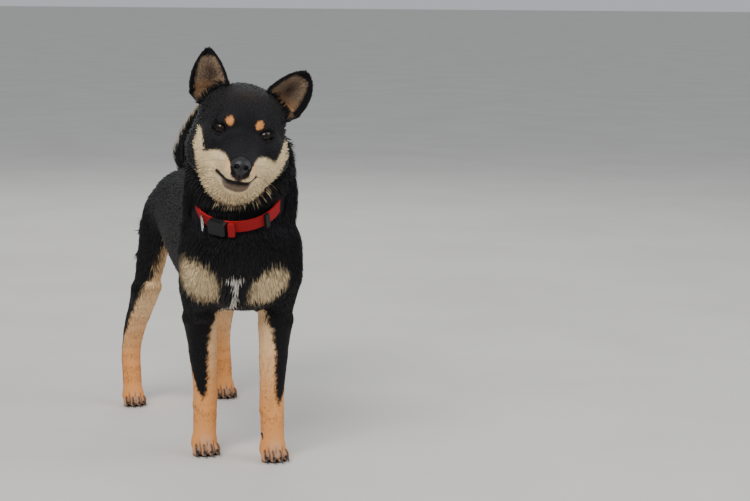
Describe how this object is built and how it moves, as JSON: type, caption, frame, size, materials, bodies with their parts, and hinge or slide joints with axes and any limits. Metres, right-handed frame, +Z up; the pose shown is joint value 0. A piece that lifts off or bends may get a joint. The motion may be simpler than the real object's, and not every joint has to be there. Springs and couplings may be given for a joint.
{
  "type": "shiba inu",
  "caption": "Life-size standing black and tan shiba inu, head turned and tilted to the viewer, tail curled over its back, with a red webbing collar.",
  "frame": {"origin": "on the floor, under the middle of the whole dog's bounding box", "axes": "+Z up, the dog faces -Y and its left side is +X"},
  "size_m": [0.2076, 0.6068, 0.5766],
  "materials": {
    "coat_black": "dense short double coat, black with a grey sheen and tan and cream points",
    "coat_tan": "short flat tan coat on the legs and feet",
    "nose_leather": "moist pebbled black nose leather",
    "eye": "wet dark brown eye",
    "claw": "dark horn claws",
    "webbing": "woven red nylon webbing",
    "plastic": "moulded black plastic",
    "steel": "bright nickel-plated wire"
  },
  "bodies": {
    "root": {"head": "coat_black", "nose": "nose_leather", "eye_right": "eye", "eye_left": "eye", "ear_right": "coat_black", "ear_left": "coat_black", "neck": "coat_black", "torso": "coat_black", "tail": "coat_black", "shoulder_right": "coat_black", "shoulder_left": "coat_black", "foreleg_right": "coat_tan", "foreleg_left": "coat_tan", "forepaw_right": "coat_tan", "forepaw_left": "coat_tan", "thigh_right": "coat_black", "thigh_left": "coat_black", "hindleg_right": "coat_tan", "hindleg_left": "coat_tan", "hindpaw_right": "coat_tan", "hindpaw_left": "coat_tan", "collar_band": "webbing", "collar_loop": "webbing", "collar_buckle": "plastic", "collar_slide": "plastic", "collar_ring": "steel"}
  },
  "joints": []
}
